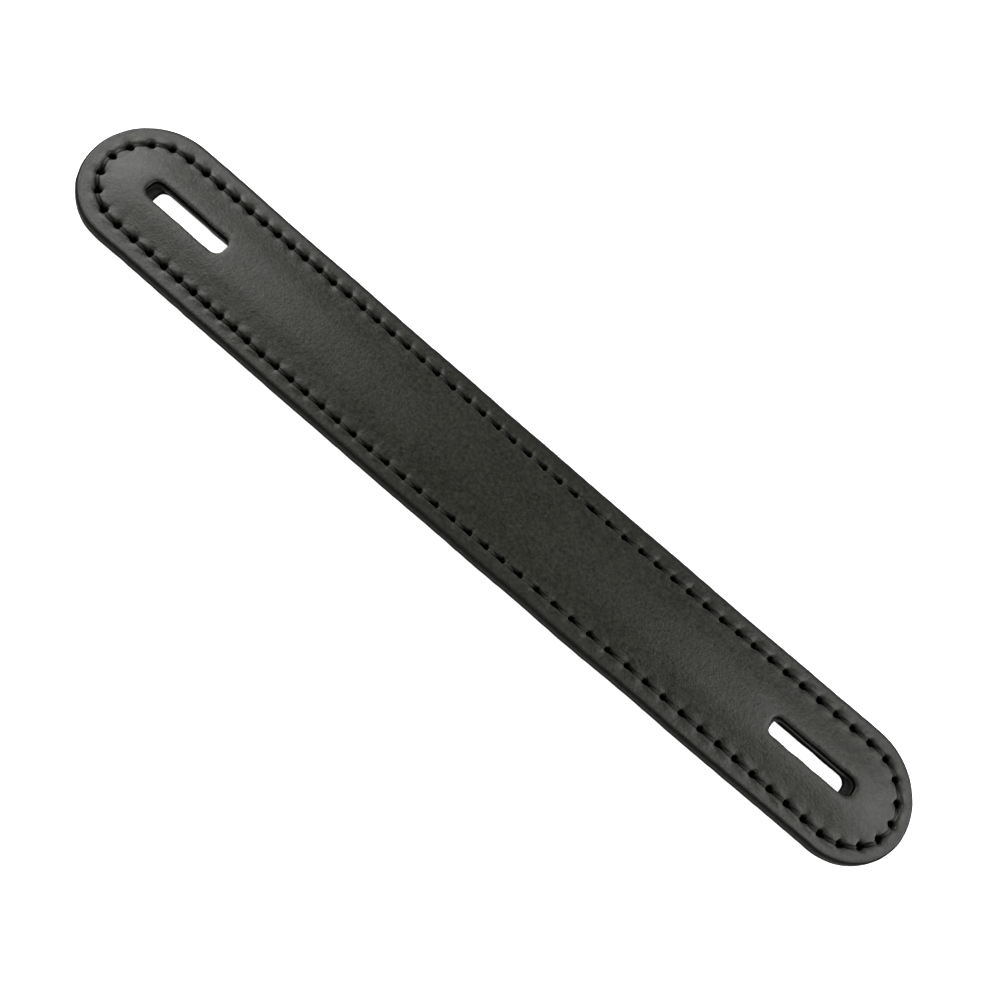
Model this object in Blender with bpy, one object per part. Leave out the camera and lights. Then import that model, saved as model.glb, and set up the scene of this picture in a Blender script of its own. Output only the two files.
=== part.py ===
"""Flat stitched leather strap handle, lying on its back.

Two layers of leather with a thin filler board between them are glued and then
lock-stitched all round. A lengthwise slot near each rounded end takes the
stud, screw or loop that holds the handle to a case.

Frame: metres. +X runs along the strap, +Y across it, +Z up out of the grain
side. The origin is the middle of the back face, which is the plane z = 0.
"""

import math

import bmesh
import bpy
from mathutils import Vector

# ---------------------------------------------------------------- dimensions
LENGTH = 0.2286            # 9 in overall
WIDTH = 0.03175            # 1 1/4 in overall
BACK_THICK = 0.0013        # backing leather
GLUE_GAP = 0.0002          # glue line between layers
FACE_UNDER = BACK_THICK + GLUE_GAP
CORE_THICK = 0.0007        # filler board
CORE_INSET = 0.0070        # filler edge, in from the strap edge
POCKET_TOP = FACE_UNDER + CORE_THICK + GLUE_GAP
MARGIN_Z = 0.0029          # face height outside the stitch line
PANEL_Z = 0.0038           # face height of the raised panel inside it

SLOT_LENGTH = 0.0222
SLOT_WIDTH = 0.0050
SLOT_CORNER = 0.0020
SLOT_X = 0.0885            # slot centres, either side of the middle

STITCH_COUNT = 103         # once round the strap, 4.55 mm apart
STITCH_INSET = 0.0039      # stitch line, in from the strap edge
STITCH_START = 0.0          # first hole, at the middle of the -Y side
GROOVE_FLOOR_HALF = 0.00075
GROOVE_LIP_HALF = 0.00090
GROOVE_DEEP_FACE = 0.0007
GROOVE_DEEP_BACK = 0.00075
HOLE_HALF_LONG = 0.00085
HOLE_HALF_WIDE = 0.00058
THREAD_HALF_WIDE = 0.00038
THREAD_SIDES = 8
DIP_HALF = 0.00075         # where a stitch bends over the hole's lip

ARC_SEGMENTS = 16          # per rounded end
SLOT_CORNER_SEGMENTS = 4

HALF_STRAIGHT = (LENGTH - WIDTH) / 2
STITCH_RADIUS = WIDTH / 2 - STITCH_INSET
STITCH_PERIMETER = 4 * HALF_STRAIGHT + 2 * math.pi * STITCH_RADIUS
STITCH_PITCH = STITCH_PERIMETER / STITCH_COUNT

# ---------------------------------------------------------------- clean scene
for old in list(bpy.data.objects):
    bpy.data.objects.remove(old, do_unlink=True)


# ------------------------------------------------------------------- helpers
def material(name, colour, roughness, metallic=0.0):
    mat = bpy.data.materials.new(name)
    mat.use_nodes = True
    shader = mat.node_tree.nodes["Principled BSDF"]
    shader.inputs["Base Color"].default_value = (*colour, 1.0)
    shader.inputs["Roughness"].default_value = roughness
    shader.inputs["Metallic"].default_value = metallic
    mat.diffuse_color = (*colour, 1.0)
    return mat


def add_object(name, bm, mat=None, parent=None):
    bmesh.ops.recalc_face_normals(bm, faces=bm.faces)
    mesh = bpy.data.meshes.new(name)
    bm.to_mesh(mesh)
    bm.free()
    obj = bpy.data.objects.new(name, mesh)
    bpy.context.scene.collection.objects.link(obj)
    if mat:
        mesh.materials.append(mat)
    if parent:
        obj.parent = parent
    return obj


def outline(inset, z):
    """The strap's outline, moved in by inset: two straights and two half rounds."""
    radius = WIDTH / 2 - inset
    points = []
    for centre, start in ((HALF_STRAIGHT, -math.pi / 2), (-HALF_STRAIGHT, math.pi / 2)):
        for step in range(ARC_SEGMENTS + 1):
            angle = start + math.pi * step / ARC_SEGMENTS
            points.append(
                Vector((centre + radius * math.cos(angle), radius * math.sin(angle), z))
            )
    return points


def layered_body(sections):
    """A closed body from outlines given as (inset, z), from its under side round its edge to its top."""
    bm = bmesh.new()
    rings = [[bm.verts.new(p) for p in outline(inset, z)] for inset, z in sections]
    for low, high in zip(rings, rings[1:]):
        for i in range(len(low)):
            j = (i + 1) % len(low)
            bm.faces.new((low[i], low[j], high[j], high[i]))
    bm.faces.new(list(reversed(rings[0])))
    bm.faces.new(rings[-1])
    return bm


def along_stitch_line(distance):
    """Point and direction on the stitch line, anticlockwise from the middle of the -Y side."""
    s = distance % STITCH_PERIMETER
    arc = math.pi * STITCH_RADIUS
    if s < HALF_STRAIGHT:
        return Vector((s, -STITCH_RADIUS, 0)), Vector((1, 0, 0))
    s -= HALF_STRAIGHT
    if s < arc:
        a = -math.pi / 2 + s / STITCH_RADIUS
        return (
            Vector((HALF_STRAIGHT + STITCH_RADIUS * math.cos(a), STITCH_RADIUS * math.sin(a), 0)),
            Vector((-math.sin(a), math.cos(a), 0)),
        )
    s -= arc
    if s < 2 * HALF_STRAIGHT:
        return Vector((HALF_STRAIGHT - s, STITCH_RADIUS, 0)), Vector((-1, 0, 0))
    s -= 2 * HALF_STRAIGHT
    if s < arc:
        a = math.pi / 2 + s / STITCH_RADIUS
        return (
            Vector((-HALF_STRAIGHT + STITCH_RADIUS * math.cos(a), STITCH_RADIUS * math.sin(a), 0)),
            Vector((-math.sin(a), math.cos(a), 0)),
        )
    s -= arc
    return Vector((s - HALF_STRAIGHT, -STITCH_RADIUS, 0)), Vector((1, 0, 0))


def prism(bm, ring, low, high):
    bottom = [bm.verts.new((p.x, p.y, low)) for p in ring]
    top = [bm.verts.new((p.x, p.y, high)) for p in ring]
    for i in range(len(ring)):
        j = (i + 1) % len(ring)
        bm.faces.new((bottom[i], bottom[j], top[j], top[i]))
    bm.faces.new(list(reversed(bottom)))
    bm.faces.new(top)


def awl_holes(bm, low, high):
    """One four-sided awl hole for each stitch, long side along the stitch line."""
    for k in range(STITCH_COUNT):
        centre, ahead = along_stitch_line(STITCH_START + k * STITCH_PITCH)
        side = Vector((-ahead.y, ahead.x, 0))
        ring = [
            centre + ahead * (u * HOLE_HALF_LONG) + side * (v * HOLE_HALF_WIDE)
            for u, v in ((-1, -1), (1, -1), (1, 1), (-1, 1))
        ]
        prism(bm, ring, low, high)


def slots(bm, low, high):
    """The two lengthwise slots, each with four rounded corners."""
    for centre in (-SLOT_X, SLOT_X):
        ring = []
        for quarter, (sx, sy) in enumerate(((1, -1), (1, 1), (-1, 1), (-1, -1))):
            cx = centre + sx * (SLOT_LENGTH / 2 - SLOT_CORNER)
            cy = sy * (SLOT_WIDTH / 2 - SLOT_CORNER)
            for step in range(SLOT_CORNER_SEGMENTS + 1):
                a = -math.pi / 2 + (quarter + step / SLOT_CORNER_SEGMENTS) * math.pi / 2
                ring.append(Vector((cx + SLOT_CORNER * math.cos(a), cy + SLOT_CORNER * math.sin(a), 0)))
        prism(bm, ring, low, high)


def cut_with(obj, bm, name):
    cutter = add_object(name, bm)
    cutter.hide_render = True
    cutter.display_type = "WIRE"
    boolean = obj.modifiers.new("Openings", "BOOLEAN")
    boolean.operation = "DIFFERENCE"
    boolean.solver = "EXACT"
    boolean.object = cutter


def thread(name, at_hole, at_lip, at_crown, mat, parent):
    """One endless thread. It dips into every awl hole; each argument is its (low, high) height there."""
    bm = bmesh.new()
    rings = []
    for k in range(STITCH_COUNT):
        start = STITCH_START + k * STITCH_PITCH
        for offset, (low, high) in (
            (0.0, at_hole),
            (DIP_HALF, at_lip),
            (STITCH_PITCH * 0.36, at_crown),
            (STITCH_PITCH * 0.64, at_crown),
            (STITCH_PITCH - DIP_HALF, at_lip),
        ):
            centre, ahead = along_stitch_line(start + offset)
            side = Vector((-ahead.y, ahead.x, 0)) * THREAD_HALF_WIDE
            middle = (low + high) / 2
            ring = []
            for i in range(THREAD_SIDES):
                angle = 2 * math.pi * i / THREAD_SIDES - math.pi / 2
                out = side * math.cos(angle)
                rise = (high - low) / 2 * math.sin(angle)
                ring.append(bm.verts.new((centre.x - out.x, centre.y - out.y, middle + rise)))
            rings.append(ring)
    for here, there in zip(rings, rings[1:] + rings[:1]):
        for i in range(THREAD_SIDES):
            j = (i + 1) % THREAD_SIDES
            bm.faces.new((here[i], there[i], there[j], here[j]))
    obj = add_object(name, bm, mat, parent)
    obj.data.shade_smooth()
    obj.data.set_sharp_from_angle(angle=math.radians(60))
    return obj


# ----------------------------------------------------------------- materials
FACE_LEATHER = material("face_leather", (0.030, 0.030, 0.027), 0.46)
BACK_LEATHER = material("backing_leather", (0.021, 0.020, 0.019), 0.62)
FILLER_BOARD = material("filler_board", (0.045, 0.036, 0.028), 0.85)
BLACK_THREAD = material("black_thread", (0.010, 0.010, 0.010), 0.55)

handle = bpy.data.objects.new("strap_handle", None)
bpy.context.scene.collection.objects.link(handle)

# -------------------------------------------------------------- face leather
lip_out = STITCH_INSET - GROOVE_LIP_HALF
lip_in = STITCH_INSET + GROOVE_LIP_HALF
floor_out = STITCH_INSET - GROOVE_FLOOR_HALF
floor_in = STITCH_INSET + GROOVE_FLOOR_HALF
groove_floor = MARGIN_Z - GROOVE_DEEP_FACE

face = add_object(
    "face_leather",
    layered_body(
        [
            (CORE_INSET - 0.0004, POCKET_TOP),
            (CORE_INSET - 0.0010, FACE_UNDER),
            (0.00010, FACE_UNDER),
            (0.0, FACE_UNDER + 0.00025),
            (0.0, MARGIN_Z - 0.00055),
            (0.00015, MARGIN_Z - 0.00025),
            (0.00055, MARGIN_Z - 0.00006),
            (0.00130, MARGIN_Z),
            (lip_out, MARGIN_Z),
            (floor_out, groove_floor),
            (floor_in, groove_floor),
            (lip_in, MARGIN_Z + 0.00015),
            (lip_in + 0.0009, PANEL_Z - 0.00035),
            (lip_in + 0.0021, PANEL_Z - 0.00008),
            (lip_in + 0.0034, PANEL_Z),
        ]
    ),
    FACE_LEATHER,
    handle,
)
bm = bmesh.new()
awl_holes(bm, FACE_UNDER - 0.0005, groove_floor + 0.0003)
slots(bm, -0.001, PANEL_Z + 0.001)
cut_with(face, bm, "face_cutter")
face.data.shade_smooth()
face.data.set_sharp_from_angle(angle=math.radians(50))

# --------------------------------------------------------------- filler core
core = add_object(
    "core_filler",
    layered_body([(CORE_INSET, FACE_UNDER), (CORE_INSET, FACE_UNDER + CORE_THICK)]),
    FILLER_BOARD,
    handle,
)
bm = bmesh.new()
slots(bm, -0.001, PANEL_Z + 0.001)
cut_with(core, bm, "core_cutter")

# ----------------------------------------------------------- backing leather
back = add_object(
    "backing_leather",
    layered_body(
        [
            (lip_in, 0.0),
            (floor_in, GROOVE_DEEP_BACK),
            (floor_out, GROOVE_DEEP_BACK),
            (lip_out, 0.0),
            (0.00050, 0.0),
            (0.00015, 0.00014),
            (0.0, 0.00045),
            (0.0, BACK_THICK - 0.00025),
            (0.00010, BACK_THICK),
        ]
    ),
    BACK_LEATHER,
    handle,
)
bm = bmesh.new()
awl_holes(bm, GROOVE_DEEP_BACK - 0.0003, BACK_THICK + 0.0005)
slots(bm, -0.001, PANEL_Z + 0.001)
cut_with(back, bm, "back_cutter")
back.data.shade_smooth()
back.data.set_sharp_from_angle(angle=math.radians(50))

# -------------------------------------------------------------------- thread
thread(
    "needle_thread",
    at_hole=(FACE_UNDER, 0.00230),
    at_lip=(groove_floor + 0.0002, 0.00285),
    at_crown=(groove_floor + 0.0002, 0.00300),
    mat=BLACK_THREAD,
    parent=handle,
)
thread(
    "bobbin_thread",
    at_hole=(0.00045, BACK_THICK),
    at_lip=(0.00012, GROOVE_DEEP_BACK - 0.0002),
    at_crown=(0.00005, GROOVE_DEEP_BACK - 0.0002),
    mat=BLACK_THREAD,
    parent=handle,
)
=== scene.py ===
"""The looks of the stitched leather strap handle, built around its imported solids.

Lengths in the modelling code are in millimetres, in the row frame: +X along the
strap, +Y across it, +Z out of the grain side, origin in the middle of the back.
"""

import math

import bpy
import numpy as np
from mathutils import Matrix, Vector
from mathutils.geometry import delaunay_2d_cdt


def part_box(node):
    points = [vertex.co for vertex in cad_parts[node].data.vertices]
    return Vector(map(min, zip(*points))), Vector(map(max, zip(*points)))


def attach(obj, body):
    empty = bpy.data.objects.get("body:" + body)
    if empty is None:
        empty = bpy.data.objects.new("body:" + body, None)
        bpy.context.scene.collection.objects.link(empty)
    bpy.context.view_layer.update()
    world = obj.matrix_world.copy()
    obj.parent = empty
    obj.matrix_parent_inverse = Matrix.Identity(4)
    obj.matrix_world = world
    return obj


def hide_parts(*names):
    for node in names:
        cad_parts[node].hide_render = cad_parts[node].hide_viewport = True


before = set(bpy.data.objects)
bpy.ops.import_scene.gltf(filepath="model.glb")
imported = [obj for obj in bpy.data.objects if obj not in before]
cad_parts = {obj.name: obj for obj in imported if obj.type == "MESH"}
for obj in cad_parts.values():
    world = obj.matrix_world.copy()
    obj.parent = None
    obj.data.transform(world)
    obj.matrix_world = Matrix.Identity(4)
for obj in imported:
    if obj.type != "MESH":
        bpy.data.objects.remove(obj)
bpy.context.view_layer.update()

rng = np.random.default_rng(41)

# ------------------------------------------------------------ sizes, from CAD
face_lo, face_hi = (v * 1000.0 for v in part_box("face_leather"))
back_lo, back_hi = (v * 1000.0 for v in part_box("backing_leather"))
core_lo, core_hi = (v * 1000.0 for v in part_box("core_filler"))
LENGTH = face_hi.x - face_lo.x
WIDTH = face_hi.y - face_lo.y
PANEL_Z = face_hi.z
SEAM_Z = (face_lo.z + back_hi.z) / 2

STITCH_COUNT = 103
STITCH_INSET = 3.9
MARGIN_Z = 2.92
# centre along and across, length and width: cut by hand, so not quite alike
SLOTS = ((-88.85, 0.24, 21.3, 4.95), (88.15, 0.07, 23.1, 4.75))
BACK_SLOTS = ((-87.75, 0.32, 19.7, 5.1), (87.25, -0.08, 21.3, 4.45))
SLOT_CORNER = 1.9

HALF = (LENGTH - WIDTH) / 2
RADIUS = WIDTH / 2 - STITCH_INSET
PERIMETER = 4 * HALF + 2 * math.pi * RADIUS
PITCH = PERIMETER / STITCH_COUNT


# ---------------------------------------------------------------- small tools
def waves(count, low, high, dims, seed):
    """A smooth field with unit variance: plane waves of random direction, lengths from low to high mm."""
    r = np.random.default_rng(seed)
    length = np.exp(r.uniform(math.log(low), math.log(high), count))
    if dims == 1:
        k = (2 * np.pi / length)[None, :]
    else:
        a = r.uniform(0, 2 * np.pi, count)
        k = (2 * np.pi / length) * np.stack([np.cos(a), np.sin(a)])
    phase = r.uniform(0, 2 * np.pi, count)
    size = r.uniform(0.6, 1.0, count)
    size *= math.sqrt(2 / (size**2).sum())

    def field(*p):
        arg = sum(x[..., None] * k[i] for i, x in enumerate(p)) + phase
        return (np.sin(arg) * size).sum(-1)

    return field


def loop_noise(count, most, seed):
    """The same on a closed line, as a function of the share of its length, 0 to 1."""
    r = np.random.default_rng(seed)
    n = r.integers(2, most, count)
    phase = r.uniform(0, 2 * np.pi, count)
    size = r.uniform(0.5, 1.0, count)
    size *= math.sqrt(2 / (size**2).sum())
    return lambda t: (np.sin(2 * np.pi * n * np.asarray(t)[..., None] + phase) * size).sum(-1)


def smooth(t):
    t = np.clip(t, 0, 1)
    return t * t * (3 - 2 * t)


def mesh_object(name, points, faces, attributes=None, sharp=None):
    points = np.array(points, float)
    points[:, 1] += 0.5 * (points[:, 0] / 100) ** 2 - 0.2  # the strap lies very slightly bowed
    mesh = bpy.data.meshes.new(name)
    mesh.from_pydata([tuple(p) for p in (np.asarray(points) * 0.001).tolist()], [], faces)
    mesh.validate()
    for key, values in (attributes or {}).items():
        a = mesh.attributes.new(key, "FLOAT", "POINT")
        a.data.foreach_set("value", np.asarray(values, np.float32))
    mesh.shade_smooth()
    if sharp:
        mesh.set_sharp_from_angle(angle=math.radians(sharp))
    obj = bpy.data.objects.new(name, mesh)
    bpy.context.scene.collection.objects.link(obj)
    return obj


# ------------------------------------------------------- the line of stitches
# Stations run once round the strap, anticlockwise from above, closer together
# at the awl holes. Each stitch is a little uneven, as sewn ones are.
PER_STITCH = 20
jitter_s = rng.normal(0, 0.10, STITCH_COUNT)
jitter_v = rng.normal(0, 0.045, STITCH_COUNT)
tension = 1 + rng.normal(0, 0.10, STITCH_COUNT)
pull = 1 + rng.normal(0, 0.14, STITCH_COUNT)


# The sewing runs closer and wider round the loop, and its line strays in and out: mean, then
# cosine and sine of one turn, two turns and so on, in mm.
ALONG = (-2.20, -4.16, 1.04, -0.57, -0.50, -0.97, -0.17, -0.20, 0.59, 0.44, -0.02, 0.31, -0.34)
ACROSS = (-0.12, -0.06, 0.00, 0.00, 0.00, 0.19, -0.31)


def drift(terms, t):
    """(value, slope per stitch) of such a sum at t stitches round the loop."""
    turn = 2 * np.pi / STITCH_COUNT
    value, slope = terms[0] + 0.0 * t, 0.0 * t
    for j in range(1, len(terms) // 2 + 1):
        c, d = terms[2 * j - 1], terms[2 * j]
        value = value + c * np.cos(j * turn * t) + d * np.sin(j * turn * t)
        slope = slope + j * turn * (d * np.cos(j * turn * t) - c * np.sin(j * turn * t))
    return value, slope


def stations(per_stitch, crowd):
    t = np.arange(per_stitch) / per_stitch
    w = t - crowd * np.sin(2 * np.pi * t) / (2 * np.pi)
    k = np.repeat(np.arange(STITCH_COUNT), per_stitch)
    w = np.tile(w, STITCH_COUNT)
    nxt = (k + 1) % STITCH_COUNT
    along, slope = drift(ALONG, k + w)
    pitch = PITCH + slope
    s = (k + w) * PITCH + along + jitter_s[k] * (1 - w) + jitter_s[nxt] * w
    wander = drift(ACROSS, k + w)[0] + jitter_v[k] * (1 - w) + jitter_v[nxt] * w
    u = np.where(w < 0.5, w, w - 1) * pitch
    phi = 2 * np.pi * w
    # every stitch stands up at the hole nearer the strap's end and slides down into the next one
    x, y, nx, ny = stadium((k + 0.5) * PITCH + drift(ALONG, k + 0.5)[0])
    lean = np.clip(2.5 * ny * np.tanh((x - 18) / 6), -1, 1)
    f = np.where(lean >= 0, w, 1 - w)
    lean = np.abs(lean)
    first, last = f * pitch, (1 - f) * pitch  # mm from the two holes
    slide = 1.75 + 1.55 * lean  # length of the sloping end
    drop = np.maximum(1 - smooth((first - 0.30) / 0.80), np.clip(1 - last / slide, 0, 1) ** 1.5)
    bow = (0.10 - 0.20 * ny) * np.sin(np.pi * f**0.75)
    size = 0.64 + 0.24 * np.minimum(np.abs(x) / 95, 1) ** 1.5  # half the width of a hole
    hold = tension[k] * (1 - w) + tension[nxt] * w
    deep = np.where(w < 0.5, pull[k], pull[nxt])
    return {"s": s, "u": u, "phi": phi, "side": wander + bow, "hold": hold, "deep": deep,
            "drop": drop, "tail": np.clip(1 - last / (slide + 0.1), 0, 1), "size": size}


def stadium(s):
    """Point on the stitch line and the direction away from the strap's middle, for distances s."""
    s = np.mod(s, PERIMETER)
    arc = math.pi * RADIUS
    x = np.zeros_like(s)
    y = np.zeros_like(s)
    nx = np.zeros_like(s)
    ny = np.zeros_like(s)
    a, b, c, d = HALF, HALF + arc, 3 * HALF + arc, 3 * HALF + 2 * arc
    m = s < a
    x[m], y[m], ny[m] = s[m], -RADIUS, -1
    m = (s >= a) & (s < b)
    ang = -math.pi / 2 + (s[m] - a) / RADIUS
    nx[m], ny[m] = np.cos(ang), np.sin(ang)
    x[m], y[m] = HALF + RADIUS * nx[m], RADIUS * ny[m]
    m = (s >= b) & (s < c)
    x[m], y[m], ny[m] = HALF - (s[m] - b), RADIUS, 1
    m = (s >= c) & (s < d)
    ang = math.pi / 2 + (s[m] - c) / RADIUS
    nx[m], ny[m] = np.cos(ang), np.sin(ang)
    x[m], y[m] = -HALF + RADIUS * nx[m], RADIUS * ny[m]
    m = s >= d
    x[m], y[m], ny[m] = (s[m] - d) - HALF, -RADIUS, -1
    return x, y, nx, ny


edge_wobble = loop_noise(14, 26, 5)
edge_fine = loop_noise(20, 180, 6)
panel_swell = waves(18, 9, 38, 2, 7)
panel_fine = waves(26, 2.2, 6.5, 2, 8)
lump = waves(22, 3.0, 9.0, 2, 9)


# ------------------------------------------------------------- slot outlines
def slot_ring(centre, across, length, width):
    """Points round a slot and their directions away from the slot, anticlockwise."""
    pts, nrm = [], []
    hx, hy = length / 2 - SLOT_CORNER, width / 2 - SLOT_CORNER
    for q, (sx, sy) in enumerate(((1, -1), (1, 1), (-1, 1), (-1, -1))):
        for i in range(13):
            a = -math.pi / 2 + (q + i / 12) * math.pi / 2
            n = np.array([math.cos(a), math.sin(a)])
            pts.append(np.array([sx * hx, sy * hy]) + SLOT_CORNER * n)
            nrm.append(n)
        run = 2 * hy if q in (0, 2) else 2 * hx  # the straight that follows this corner
        steps = 3 if q in (0, 2) else 52
        n = nrm[-1]
        ahead = np.array([-n[1], n[0]])
        start = pts[-1]
        for i in range(1, steps):
            pts.append(start + ahead * run * i / steps)
            nrm.append(n)
    pts = np.array(pts)
    pts += (centre, across)
    return pts, np.array(nrm)


def inside_polygon(p, ring):
    x, y = p[:, 0][:, None], p[:, 1][:, None]
    x0, y0 = ring[:, 0], ring[:, 1]
    x1, y1 = np.roll(x0, -1), np.roll(y0, -1)
    cross = ((y0 > y) != (y1 > y)) & (x < (x1 - x0) * (y - y0) / (y1 - y0 + 1e-12) + x0)
    return cross.sum(1) % 2 == 1


def fill(outer, holes, inner):
    """Triangles between an outer ring and hole rings. Each argument is a list of (index, x, y)."""
    verts = outer + [v for h in holes for v in h] + inner
    edges = []
    start = 0
    for ring in [outer] + holes:
        n = len(ring)
        edges += [(start + i, start + (i + 1) % n) for i in range(n)]
        start += n
    co, _, tris, origin, _, _ = delaunay_2d_cdt(
        [Vector((v[1], v[2])) for v in verts], edges, [], 0, 1e-6
    )
    index = [verts[o[0]][0] if o else None for o in origin]
    xy = np.array([[c.x, c.y] for c in co])
    tri = np.array([t for t in tris])
    mid = xy[tri].mean(1)
    keep = inside_polygon(mid, np.array([[v[1], v[2]] for v in outer]))
    for h in holes:
        keep &= ~inside_polygon(mid, np.array([[v[1], v[2]] for v in h]))
    out = []
    for t, ok in zip(tri, keep):
        if ok:
            a, b, c = (index[i] for i in t)
            area = np.cross(xy[t[1]] - xy[t[0]], xy[t[2]] - xy[t[0]])
            out.append((a, b, c) if area > 0 else (a, c, b))
    return out


# ------------------------------------------------------------ leather layers
def leather(name, up, seam, thick, rise, inner_z, rim, pucker, swell, openings):
    """One leather layer as a closed mesh. Heights are measured from the seam towards its outer skin.

    up is +1 for the face and -1 for the backing. thick is its height at the margin, rise what the panel
    adds, inner_z its inner skin over the filler, rim the rounding of the slot edges."""
    st = stations(PER_STITCH, 0.5)
    n = len(st["s"])
    share = st["s"] / PERIMETER
    px, py, nx, ny = stadium(st["s"])
    wobble = 0.05 * edge_wobble(share)
    fine = 0.018 * edge_fine(share)
    spread = np.clip(0.42 - 0.18 * px / 100, 0.2, 0.6) * ny**2
    u, phi, deep, hold = st["u"], st["phi"], st["deep"], st["hold"]
    near = np.abs(u) * 0.90 / st["size"]
    groove = 0.35 + 0.24 * st["tail"]
    sunken = 0.16 + 0.84 * smooth(st["tail"] * 2.6)

    points, paint, channel_shade, holes = [], [], [], []

    def add(x, y, z, p, c, hole=0.0):
        start = len(points)
        points.extend(np.stack([x, y, seam + up * z], 1))
        paint.extend(np.broadcast_to(p, x.shape))
        channel_shade.extend(np.broadcast_to(c, x.shape))
        holes.extend(np.broadcast_to(hole, x.shape))
        return start

    def base(o):
        return thick + rise * smooth((o - 4.3) / 8.4)

    def panel(x, y):
        """Height of the panel, which is very slightly domed."""
        o = WIDTH / 2 - np.hypot(np.maximum(np.abs(x) - HALF, 0), y)
        return base(o) + swell * (0.012 * panel_swell(x, y) + 0.007 * panel_fine(x, y))

    def skin(o, x, y):
        """Height of the outer skin at inset o, with the stitches pulled into it."""
        q = STITCH_INSET - o
        a = abs(q)
        mid = 0.5 - 0.5 * np.cos(phi)
        z = base(o) + np.zeros(n)
        z += pucker * (
            (0.11 if q > 0 else 0.055) * np.exp(-(((a - 1.05) / 0.50) ** 2)) * mid * hold
            - 0.06 * np.exp(-((q / 1.7) ** 2)) * (1 - mid) ** 1.5 * deep
            - 0.22 * np.exp(-((q / 1.05) ** 2)) * np.exp(-((near / 0.85) ** 2)) * deep
            - 0.04 * np.exp(-((q / 1.3) ** 2))
        )
        z += swell * 0.020 * lump(x, y) * smooth((2.6 - a) / 1.6)
        z += swell * (0.012 * panel_swell(x, y) + 0.007 * panel_fine(x, y)) * smooth((o - 0.8) / 1.5)
        channel = min(0.80, thick * 0.55) * sunken * np.exp(-((a / groove) ** 6))
        pit = 1.7 * np.exp(-((np.hypot(q * 0.90 / st["size"], near * 1.04) / 0.90) ** 8)) * np.clip(deep, 0.9, 1.15)
        return np.maximum(z - channel - pit, 0.10)

    def ring(o, z, step, p=0.0, c=0.0):
        """A ring of points at inset o; z is a height or None for the outer skin."""
        q = STITCH_INSET - o
        follow = st["side"] * smooth((3.0 - abs(q)) / 2.2)
        edge = (wobble + fine + spread) * smooth((q - 1.6) / 2.3)
        lateral = q + follow + edge
        x, y = px + nx * lateral, py + ny * lateral
        h = skin(o, x, y) if z is None else z + np.zeros(n)
        pick = slice(None, None, step)
        # painted shade: awl marks the awl pits, which are coloured near-black
        awl = np.exp(-((np.hypot(q * 0.90 / st["size"], near * 1.02) / 0.95) ** 9))
        # painted shade: the channel's darkening is strongest along each stitch's sinking tail
        c = c * smooth(st["tail"] * 2.2)
        start = add(x[pick], y[pick], h[pick], p, c[pick], awl[pick])
        return start, n // step

    faces, edge_faces, wall_faces = [], [], []

    def bridge(low, high):
        (a, na), (b, nb) = low, high
        if na == nb:
            for i in range(na):
                j = (i + 1) % na
                faces.append((a + i, a + j, b + j, b + i))
        elif na == nb // 2:
            for i in range(na):
                j = (i + 1) % na
                i0, i1, i2 = b + 2 * i, b + 2 * i + 1, b + (2 * i + 2) % nb
                faces.append((a + i, i1, i0))
                faces.append((a + i, a + j, i1))
                faces.append((a + j, i2, i1))
        else:
            for i in range(nb):
                j = (i + 1) % nb
                i0, i1, i2 = a + 2 * i, a + 2 * i + 1, a + (2 * i + 2) % na
                faces.append((i0, i1, b + i))
                faces.append((i1, b + j, b + i))
                faces.append((i1, i2, b + j))

    rings = []
    # inner skin, from the filler's place out to the seam
    rings.append(ring(8.6, inner_z, 2))
    rings.append(ring(6.75, inner_z, 2))
    rings.append(ring(6.30, 0.0, 2))
    rings.append(ring(0.60, 0.0, 2, 1.0))
    # edge, painted: its lower arris, side and burnished shoulder
    side_rings = (
        (0.22, 0.000), (0.13, 0.030), (0.08, 0.110), (0.05, 0.22 * thick), (0.03, 0.34 * thick),
        (0.035, 0.46 * thick), (0.065, 0.60 * thick), (0.13, 0.735 * thick), (0.23, 0.84 * thick),
        (0.38, 0.915 * thick), (0.56, 0.96 * thick),
    )
    for o, z in side_rings:
        rings.append(ring(o, z, 2, 1.0))
    # margin, stitch line and the rise to the panel
    for o, p in ((0.75, 0.85), (1.05, 0.35), (1.45, 0.08), (1.85, 0.0)):
        rings.append(ring(o, None, 2, p))
    # these rings across the stitch line carry the stitch channel's painted-shade mask
    for q in (1.62, 1.36, 1.12, 0.94, 0.80, 0.68, 0.57, 0.48, 0.39, 0.29, 0.15, 0.0,
              -0.15, -0.29, -0.39, -0.48, -0.57, -0.68, -0.80, -0.94, -1.12, -1.36, -1.62):
        rings.append(ring(STITCH_INSET - q, None, 1, 0.0, math.exp(-((q / 0.62) ** 4))))
    for o in (5.9, 6.4, 7.0, 7.7, 8.4, 9.1, 9.8):
        rings.append(ring(o, None, 2))
    edge_from, edge_to = 3, 3 + len(side_rings)
    for i, (low, high) in enumerate(zip(rings, rings[1:])):
        before = len(faces)
        bridge(low, high)
        if edge_from <= i < edge_to:
            edge_faces.extend(range(before, len(faces)))

    # slots, from the panel down over the rounded edge and along the wall
    slot_outer, slot_inner = [], []
    for centre, across, length, width in openings:
        xy, nn = slot_ring(centre, across, length, width)
        m = len(xy)
        t = np.arange(m) / m
        rough = 0.035 * loop_noise(10, 14, 20 + int(centre > 0))(t) + 0.012 * loop_noise(16, 60, 30 + int(centre > 0))(t)

        def slot_level(d, z, p, wave=1.0):
            x = xy[:, 0] + nn[:, 0] * (d - rough * wave)
            y = xy[:, 1] + nn[:, 1] * (d - rough * wave)
            h = panel(x, y) - z
            return x, y, h

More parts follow.
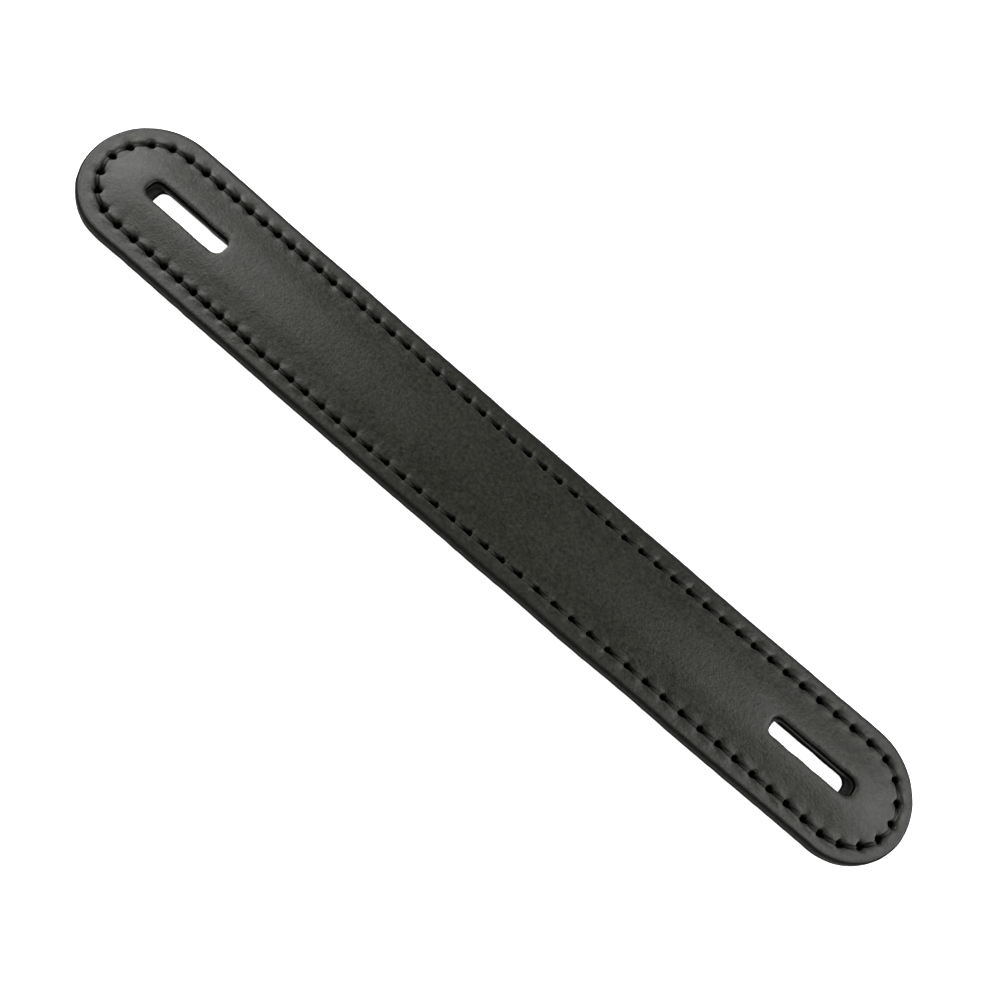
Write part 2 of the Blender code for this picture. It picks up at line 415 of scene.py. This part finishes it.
        levels = []
        for d in (1.9, 1.5, 1.15, 0.85, 0.62):
            drop = 0.09 * math.exp(-((d / 0.75) ** 2)) + 0.0
            x, y, h = slot_level(d, drop, 0.0, math.exp(-d))
            levels.append(add(x, y, h, 0.0, 0.0))
        for i in range(1, 7):
            a = i / 6 * math.pi / 2
            d = rim * (1 - math.sin(a))
            drop = 0.075 + rim * (1 - math.cos(a))
            x, y, h = slot_level(d, drop, 0.0)
            levels.append(add(x, y, h, smooth(np.float64((i - 1.5) / 3)), 0.0))
        top_of_wall = thick + rise - 0.075 - rim
        for i in range(1, 6):
            z = top_of_wall + (inner_z + 0.05 - top_of_wall) * i / 5
            bulge = -0.03 * math.sin(math.pi * i / 5.5)
            x, y, _ = slot_level(bulge, 0.0, 1.0)
            levels.append(add(x, y, z + 0 * x, 1.0, 0.0))
        x, y, _ = slot_level(0.06, 0.0, 1.0)
        levels.append(add(x, y, inner_z + 0 * x, 1.0, 0.0))
        for level, (a, b) in enumerate(zip(levels, levels[1:])):
            if level >= 9:
                wall_faces.extend(range(len(faces), len(faces) + m))
            for i in range(m):
                j = (i + 1) % m
                faces.append((a + i, a + j, b + j, b + i))
        slot_outer.append([(levels[0] + i, *points[levels[0] + i][:2]) for i in range(m)])
        slot_inner.append([(levels[-1] + i, *points[levels[-1] + i][:2]) for i in range(m)])

    # the open panel between the last ring and the slots
    start, count = rings[-1]
    outer = [(start + i, *points[start + i][:2]) for i in range(count)]
    gx = np.arange(-HALF - 8, HALF + 8, 1.25)
    grid = np.array([(x + 0.6 * (j % 2), y) for j, y in enumerate(np.arange(-7.2, 7.3, 1.08)) for x in gx])
    grid += np.random.default_rng(3).uniform(-0.22, 0.22, grid.shape)
    reach = WIDTH / 2 - 9.8 - 0.45
    over = np.maximum(np.abs(grid[:, 0]) - HALF, 0)
    keep = np.hypot(over, grid[:, 1]) < reach
    for centre, across, length, width in openings:
        keep &= ~(
            (np.abs(grid[:, 0] - centre) < length / 2 + 2.6) & (np.abs(grid[:, 1] - across) < width / 2 + 2.6)
        )
    grid = grid[keep]
    first = add(grid[:, 0], grid[:, 1], panel(grid[:, 0], grid[:, 1]), 0.0, 0.0)
    inner = [(first + i, *grid[i]) for i in range(len(grid))]
    faces.extend(fill(outer, slot_outer, inner))

    start, count = rings[0]
    outer = [(start + i, *points[start + i][:2]) for i in range(count)]
    faces.extend(tuple(reversed(t)) for t in fill(outer, slot_inner, []))

    if up < 0:
        faces = [tuple(reversed(f)) for f in faces]
    obj = mesh_object(name, np.array(points), faces, {"paint": paint, "channel_shade": channel_shade, "awl": holes})
    index = np.zeros(len(obj.data.polygons), np.int32)
    index[edge_faces] = 1
    index[wall_faces] = 2
    # faces deep in an awl pit take the near-black hole material: painted shade
    dark = np.array(holes)
    for p in obj.data.polygons:
        if dark[list(p.vertices)].mean() > 0.55:
            index[p.index] = 3
    obj.data.polygons.foreach_set("material_index", index)
    return obj


# ------------------------------------------------------------------- threads
def thread(name, up, seam, crown, dip, deepest, seed):
    """A three-ply twisted thread that runs over the leather and dives into each awl hole."""
    st = stations(34, 0.35)
    n = len(st["s"])
    px, py, nx, ny = stadium(st["s"])
    lift = 0.02 * loop_noise(20, 90, seed)(st["s"] / PERIMETER)
    drop = st["drop"]
    top = crown + lift + 0.03 * (st["hold"] - 1) - dip * drop
    slope = np.gradient(top, np.maximum(np.gradient(st["s"]), 1e-3))
    slope = np.clip(slope, -3, 3)
    tall = 0.80 * np.minimum(np.sqrt(1 + slope**2), 1.7)
    low = np.maximum(top - tall, deepest)
    top = np.maximum(top, low + 0.25)
    centre, half = (top + low) / 2, (top - low) / 2
    wide = 0.47 - 0.15 * drop
    sides = 18
    theta = 2 * np.pi * np.arange(sides) / sides
    # three plies, each one turn in 2.5 mm
    turns = st["s"] * round(PERIMETER / 2.5) / PERIMETER
    ply = np.abs(np.cos(1.5 * (theta[None, :] - 2 * np.pi * turns[:, None])))
    bulge = 0.95 + 0.05 * ply
    lateral = st["side"][:, None] + wide[:, None] * np.cos(theta)[None, :] * bulge
    z = centre[:, None] + half[:, None] * np.sin(theta)[None, :] * bulge
    x = px[:, None] + nx[:, None] * lateral
    y = py[:, None] + ny[:, None] * lateral
    points = np.stack([x, y, seam + up * z], -1).reshape(-1, 3)
    faces = []
    for i in range(n):
        j = (i + 1) % n
        for a in range(sides):
            b = (a + 1) % sides
            quad = (i * sides + a, i * sides + b, j * sides + b, j * sides + a)
            faces.append(quad if up < 0 else tuple(reversed(quad)))
    # painted shade: the thread is coloured near-black where it sinks into its channel and hole
    sunk = np.repeat(smooth((drop + 0.02) / 0.40), sides)
    obj = mesh_object(name, points, faces, {"ply": np.broadcast_to(ply, (n, sides)).reshape(-1), "awl": sunk})
    # thread faces deep in the hole take the near-black hole material: painted shade
    below = np.repeat((drop > 0.48) | (np.roll(drop, -1) > 0.48), sides).astype(np.int32)
    obj.data.polygons.foreach_set("material_index", below)
    return obj


face = leather("face_leather_skin", 1, SEAM_Z + 0.02, MARGIN_Z - SEAM_Z - 0.02, PANEL_Z - MARGIN_Z - 0.16,
               core_hi.z + 0.03 - SEAM_Z - 0.02, 0.42, 1.0, 1.0, SLOTS)
back = leather("backing_leather_skin", -1, SEAM_Z - 0.02, SEAM_Z - 0.02 - 0.12, 0.0,
               SEAM_Z - 0.02 - (core_lo.z - 0.03), 0.28, 0.6, 0.4, BACK_SLOTS)
needle = thread("needle_thread_plies", 1, SEAM_Z + 0.02, MARGIN_Z - SEAM_Z + 0.05, 1.30, 0.12, 51)
bobbin = thread("bobbin_thread_plies", -1, SEAM_Z - 0.02, SEAM_Z - 0.02 - 0.09, 0.85, 0.14, 52)
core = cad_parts["core_filler"]


# ----------------------------------------------------------------- materials
class Nodes:
    """A short way to write node trees."""

    def __init__(self, name):
        self.mat = bpy.data.materials.new(name)
        self.mat.use_nodes = True
        self.tree = self.mat.node_tree
        self.shader = self.tree.nodes["Principled BSDF"]
        coord = self.tree.nodes.new("ShaderNodeTexCoord")
        scale = self.tree.nodes.new("ShaderNodeMapping")
        scale.inputs["Scale"].default_value = (1000, 1000, 1000)
        self.tree.links.new(coord.outputs["Object"], scale.inputs["Vector"])
        self.mm = scale.outputs["Vector"]

    def put(self, socket, value):
        if isinstance(value, bpy.types.NodeSocket):
            self.tree.links.new(value, socket)
        elif value is not None:
            socket.default_value = value

    def noise(self, scale, detail=3.0, rough=0.55, distort=0.0, vector=None):
        n = self.tree.nodes.new("ShaderNodeTexNoise")
        self.put(n.inputs["Vector"], vector or self.mm)
        for key, v in (("Scale", scale), ("Detail", detail), ("Roughness", rough), ("Distortion", distort)):
            n.inputs[key].default_value = v
        return n.outputs["Fac"]

    def cells(self, scale, feature="F1", smoothness=0.4, vector=None):
        n = self.tree.nodes.new("ShaderNodeTexVoronoi")
        n.feature = feature
        self.put(n.inputs["Vector"], vector or self.mm)
        n.inputs["Scale"].default_value = scale
        if feature == "SMOOTH_F1":
            n.inputs["Smoothness"].default_value = smoothness
        return n.outputs["Distance"]

    def warp(self, scale, amount):
        n = self.tree.nodes.new("ShaderNodeTexNoise")
        self.put(n.inputs["Vector"], self.mm)
        n.inputs["Scale"].default_value = scale
        add = self.tree.nodes.new("ShaderNodeVectorMath")
        add.operation = "MULTIPLY_ADD"
        self.put(add.inputs[0], n.outputs["Color"])
        add.inputs[1].default_value = (amount, amount, amount)
        self.put(add.inputs[2], self.mm)
        return add.outputs[0]

    def math(self, op, a, b=0.0, c=0.0, clamp=False):
        n = self.tree.nodes.new("ShaderNodeMath")
        n.operation = op
        n.use_clamp = clamp
        for i, v in enumerate((a, b, c)):
            self.put(n.inputs[i], v)
        return n.outputs[0]

    def span(self, value, low, high, to_low=0.0, to_high=1.0):
        n = self.tree.nodes.new("ShaderNodeMapRange")
        for key, v in (("Value", value), ("From Min", low), ("From Max", high), ("To Min", to_low), ("To Max", to_high)):
            self.put(n.inputs[key], v)
        return n.outputs["Result"]

    def mix(self, share, a, b):
        n = self.tree.nodes.new("ShaderNodeMix")
        n.data_type = "RGBA"
        self.put(n.inputs[0], share)
        self.put(n.inputs[6], a)
        self.put(n.inputs[7], b)
        return n.outputs[2]

    def attribute(self, name):
        n = self.tree.nodes.new("ShaderNodeAttribute")
        n.attribute_name = name
        return n.outputs["Fac"]

    def bump(self, height, distance, strength=1.0, normal=None):
        n = self.tree.nodes.new("ShaderNodeBump")
        n.inputs["Strength"].default_value = strength
        n.inputs["Distance"].default_value = distance
        self.put(n.inputs["Height"], height)
        if normal is not None:
            self.put(n.inputs["Normal"], normal)
        return n.outputs["Normal"]


def leather_material(name, dark, light, edge, rough, grain_depth, grain_scale):
    m = Nodes(name)
    warped = m.warp(0.8, 0.35)
    paint = m.attribute("paint")
    channel_shade = m.attribute("channel_shade")
    # the paint's border wanders a little over the arris
    border = m.math("ADD", paint, m.math("MULTIPLY", m.math("SUBTRACT", m.noise(1.1, 3), 0.5), 0.55))
    painted = m.span(border, 0.42, 0.62)

    pebble = m.cells(grain_scale, "SMOOTH_F1", 0.55, warped)
    creases = m.cells(grain_scale * 0.62, "DISTANCE_TO_EDGE", vector=warped)
    creases = m.span(creases, 0.0, 0.20)
    pores = m.noise(grain_scale * 4.5, 2)
    wrinkle = m.noise(0.42, 4, 0.6, 0.6)
    mottle = m.noise(0.10, 4, 0.6, 0.8)
    fine_mottle = m.noise(1.4, 4, 0.65)

    speckle = m.noise(1.05, 2, 0.5)
    tone = m.math("ADD", m.math("MULTIPLY", mottle, 0.12), m.math("MULTIPLY", fine_mottle, 0.42))
    tone = m.math("ADD", tone, m.math("MULTIPLY", speckle, 0.46))
    colour = m.mix(m.span(tone, 0.355, 0.645), (*dark, 1), (*light, 1))
    # painted shade: the grain's creases are drawn darker
    colour = m.mix(m.math("MULTIPLY", m.math("SUBTRACT", 1.0, creases), 0.22), colour, (*edge, 1))
    # painted shade: the stitch channel is darkened, most in each stitch's sinking tail
    colour = m.mix(m.math("MULTIPLY", channel_shade, 0.85), colour, (*edge, 1))
    colour = m.mix(painted, colour, (*edge, 1))
    # painted shade: the awl pits are coloured near-black
    colour = m.mix(m.attribute("awl"), colour, (0.0012, 0.0012, 0.0012, 1))
    m.put(m.shader.inputs["Base Color"], colour)

    leather_rough = m.math(
        "ADD",
        m.span(fine_mottle, 0.3, 0.7, rough - 0.06, rough + 0.07),
        m.span(mottle, 0.3, 0.7, -0.02, 0.025),
    )
    edge_rough = m.span(m.noise(2.2, 3), 0.3, 0.7, 0.30, 0.50)
    final = m.math("ADD", m.math("MULTIPLY", leather_rough, m.math("SUBTRACT", 1.0, painted)),
                   m.math("MULTIPLY", edge_rough, painted))
    final = m.math("ADD", final, m.math("MULTIPLY", m.math("MAXIMUM", m.attribute("awl"), channel_shade), 0.45), clamp=True)
    m.put(m.shader.inputs["Roughness"], final)
    m.shader.inputs["Specular IOR Level"].default_value = 0.38

    height = m.math("ADD", m.math("MULTIPLY", pebble, -0.42), m.math("MULTIPLY", creases, 0.12))
    height = m.math("ADD", height, m.math("MULTIPLY", m.noise(grain_scale * 1.1, 2), 0.35))
    height = m.math("ADD", height, m.math("MULTIPLY", pores, 0.16))
    height = m.math("MULTIPLY", height, m.math("SUBTRACT", 1.0, m.math("MULTIPLY", painted, 0.85)))
    height = m.math("ADD", height, m.math("MULTIPLY", painted, m.math("MULTIPLY", m.noise(1.6, 4), 0.8)))
    n1 = m.bump(height, grain_depth)
    n2 = m.bump(wrinkle, 0.00006, 0.6, n1)
    m.put(m.shader.inputs["Normal"], n2)
    return m.mat


FACE = leather_material("black_grain_leather", (0.0030, 0.0034, 0.0016), (0.0236, 0.0249, 0.0163),
                        (0.0035, 0.0035, 0.0030), 0.37, 0.000055, 1.6)
BACK = leather_material("black_lining_leather", (0.0100, 0.0098, 0.0092), (0.0200, 0.0195, 0.0185),
                        (0.0035, 0.0035, 0.0030), 0.62, 0.000055, 1.3)

t = Nodes("black_edge_paint")
streak = t.noise(1.3, 4, 0.6, 0.5)
t.put(t.shader.inputs["Base Color"], t.mix(t.span(streak, 0.3, 0.7), (0.0030, 0.0032, 0.0022, 1), (0.0085, 0.0090, 0.0062, 1)))
t.put(t.shader.inputs["Roughness"], t.span(t.noise(2.4, 3), 0.3, 0.7, 0.48, 0.70))
t.shader.inputs["Specular IOR Level"].default_value = 0.06
t.put(t.shader.inputs["Normal"], t.bump(t.math("ADD", streak, t.math("MULTIPLY", t.noise(6.0, 3), 0.35)), 0.00006, 0.9))
EDGE = t.mat

# the slot walls are black edge paint, drawn much darker than the outer edge: painted shade inside the slots
t = Nodes("black_slot_wall_painted_shade")
fuzz = t.noise(1.8, 4, 0.6)
t.put(t.shader.inputs["Base Color"], t.mix(t.span(fuzz, 0.3, 0.7), (0.0003, 0.0003, 0.0002, 1), (0.0032, 0.0033, 0.0024, 1)))
t.put(t.shader.inputs["Roughness"], t.span(fuzz, 0.3, 0.7, 0.6, 0.9))
t.shader.inputs["Specular IOR Level"].default_value = 0.01
t.put(t.shader.inputs["Normal"], t.bump(t.math("ADD", fuzz, t.math("MULTIPLY", t.noise(7.0, 3), 0.4)), 0.00008, 0.9))
WALL = t.mat

# painted shade: a near-black material for the insides of the awl holes and the thread within them
t = Nodes("awl_hole_painted_shade")
fuzz = t.noise(5.0, 3, 0.6)
t.put(t.shader.inputs["Base Color"], t.mix(t.span(fuzz, 0.3, 0.7), (0.0003, 0.0003, 0.0003, 1), (0.0012, 0.0012, 0.0010, 1)))
t.put(t.shader.inputs["Roughness"], t.span(fuzz, 0.3, 0.7, 0.8, 1.0))
t.shader.inputs["Specular IOR Level"].default_value = 0.0
t.put(t.shader.inputs["Normal"], t.bump(fuzz, 0.00004, 0.8))
HOLE_SHADE = t.mat

t = Nodes("black_waxed_thread")
ply = t.attribute("ply")
fibre = t.noise(9.0, 3, 0.6)
# painted shade: the thread is drawn darker in the grooves between its plies, with random fibre tone
ply_shade_and_fibre_tone = t.mix(t.span(t.math("ADD", ply, t.math("MULTIPLY", fibre, 0.5)), 0.35, 1.25),
             (0.0100, 0.0105, 0.0085, 1), (0.0190, 0.0196, 0.0155, 1))
# painted shade: the sunk part of the thread is coloured near-black
t.put(t.shader.inputs["Base Color"], t.mix(t.attribute("awl"), ply_shade_and_fibre_tone, (0.0010, 0.0010, 0.0008, 1)))
t.shader.inputs["Specular IOR Level"].default_value = 0.28
t.put(t.shader.inputs["Roughness"],
      t.math("ADD", t.span(fibre, 0.3, 0.7, 0.40, 0.55), t.math("MULTIPLY", t.attribute("awl"), 0.5), clamp=True))
t.put(t.shader.inputs["Normal"], t.bump(t.math("ADD", fibre, t.math("MULTIPLY", t.noise(22.0, 2), 0.5)), 0.00002, 0.8))
THREAD = t.mat

t = Nodes("black_painted_board")
flake = t.noise(2.6, 5, 0.7)
t.put(t.shader.inputs["Base Color"], t.mix(t.span(flake, 0.35, 0.7), (0.006, 0.006, 0.0055, 1), (0.020, 0.017, 0.014, 1)))
t.put(t.shader.inputs["Roughness"], t.span(flake, 0.3, 0.7, 0.55, 0.80))
t.put(t.shader.inputs["Normal"], t.bump(t.math("ADD", flake, t.cells(5.0)), 0.00006, 0.8))
BOARD = t.mat

for obj, mat, node, slot in (
    (face, (FACE, EDGE, WALL, HOLE_SHADE), "face_leather", "face_leather"),
    (back, (BACK, EDGE, WALL, HOLE_SHADE), "backing_leather", "backing_leather"),
    (needle, (THREAD, HOLE_SHADE), "needle_thread", "thread"),
    (bobbin, (THREAD, HOLE_SHADE), "bobbin_thread", "thread"),
):
    for one in mat:
        obj.data.materials.append(one)
    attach(obj, "root")
    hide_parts(node)
core.data.materials.clear()
core.data.materials.append(BOARD)

# --------------------------------------------------------------------- stage
s = Nodes("pale_floor")
s.put(s.shader.inputs["Base Color"], s.mix(s.span(s.noise(0.02, 3), 0.35, 0.65), (0.86, 0.86, 0.86, 1), (0.89, 0.89, 0.89, 1)))
s.shader.inputs["Roughness"].default_value = 0.9
s.shader.inputs["Emission Color"].default_value = (1, 1, 1, 1)
s.shader.inputs["Emission Strength"].default_value = 0.90
mesh = bpy.data.meshes.new("floor")
mesh.from_pydata([(-6, -6, 0), (6, -6, 0), (6, 6, 0), (-6, 6, 0)], [], [(0, 1, 2, 3)])
floor = bpy.data.objects.new("floor", mesh)
floor.location.z = -0.00005
bpy.context.scene.collection.objects.link(floor)
mesh.materials.append(s.mat)


def softbox(name, place, target, width, depth, power, colour=(1, 1, 1)):
    light = bpy.data.lights.new(name, "AREA")
    light.shape = "RECTANGLE"
    light.size, light.size_y = width, depth
    light.energy = power
    light.color = colour
    obj = bpy.data.objects.new(name, light)
    obj.location = place
    aim = Vector(target) - Vector(place)
    obj.rotation_euler = aim.to_track_quat("-Z", "Y").to_euler()
    bpy.context.scene.collection.objects.link(obj)
    return obj


softbox("left_softbox", (-0.56, 0.16, 0.27), (-0.06, 0, 0), 0.50, 0.36, 2.9)
softbox("right_softbox", (0.58, 0.16, 0.27), (0.06, 0, 0), 0.50, 0.36, 2.5)
softbox("left_top_softbox", (-0.295, 0.19, 0.38), (-0.10, 0, 0), 0.25, 0.22, 0.90)
softbox("right_top_softbox", (0.27, 0.19, 0.38), (0.10, 0, 0), 0.21, 0.20, 0.60)
softbox("front_softbox", (0.0, -0.85, 0.60), (0, 0, 0), 0.8, 0.4, 3.1)
softbox("back_softbox", (0.10, 0.90, 0.20), (0, 0, 0), 0.9, 0.20, 1.0, (0.72, 0.84, 1.0))

# a pale backdrop behind the floor that dims towards the ceiling
world = bpy.data.worlds.new("soft_room")
bpy.context.scene.world = world
world.use_nodes = True
tree = world.node_tree
direction = tree.nodes.new("ShaderNodeTexCoord")
parts = tree.nodes.new("ShaderNodeSeparateXYZ")
ramp = tree.nodes.new("ShaderNodeMapRange")
ramp.interpolation_type = "SMOOTHSTEP"
for key, value in (("From Min", 0.14), ("From Max", 0.52), ("To Min", 1.0), ("To Max", 0.14)):
    ramp.inputs[key].default_value = value
tree.links.new(direction.outputs["Generated"], parts.inputs["Vector"])
tree.links.new(parts.outputs["Z"], ramp.inputs["Value"])
tree.links.new(ramp.outputs["Result"], tree.nodes["Background"].inputs["Strength"])
tree.nodes["Background"].inputs["Color"].default_value = (1, 1, 1, 1)

# -------------------------------------------------------------------- camera
camera_data = bpy.data.cameras.new("camera")
camera_data.sensor_width = 36.0
camera_data.lens = 36.0 * 1.300
camera_data.clip_start = 0.005
camera = bpy.data.objects.new("camera", camera_data)
place = Vector((0.0065521, -0.125815, 0.251716))
forward = Vector((-0.016294, 0.446118, -0.894826)).normalized()
right = Vector((0.757415, 0.589743, 0.280226))
right = (right - forward * right.dot(forward)).normalized()
above = right.cross(forward)
camera.matrix_world = Matrix.Translation(place) @ Matrix((right, above, -forward)).transposed().to_4x4()
bpy.context.scene.collection.objects.link(camera)
bpy.context.scene.camera = camera

scene = bpy.context.scene
scene.view_settings.view_transform = "Standard"
scene.view_settings.look = "None"
scene.view_settings.exposure = 0.0
